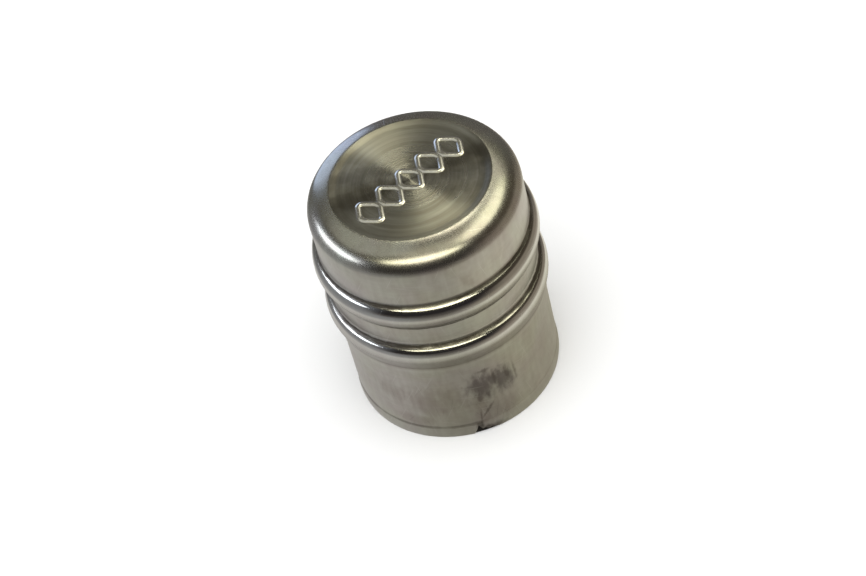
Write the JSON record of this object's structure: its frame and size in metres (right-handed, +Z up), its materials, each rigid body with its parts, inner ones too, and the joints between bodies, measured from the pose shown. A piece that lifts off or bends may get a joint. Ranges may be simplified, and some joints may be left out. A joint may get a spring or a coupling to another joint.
{
  "type": "bottle cap",
  "caption": "Deep-drawn steel slip-on bottle cap with a sunken spun top panel, round shoulder, rolled beads, a flared skirt and a torn rim.",
  "frame": {"origin": "centre of the open mouth, on the plane of the rim that the cap stands on", "axes": "+Z up the cap's axis towards the closed top; -Y is the side with the torn rim, which faces the camera"},
  "size_m": [0.0298, 0.0298, 0.0356],
  "materials": {
    "drawn_steel": "satin drawn sheet, spun top panel, polished shoulder and bead crests, stained skirt"
  },
  "bodies": {
    "root": {"cap_shell": "drawn_steel"}
  },
  "joints": []
}
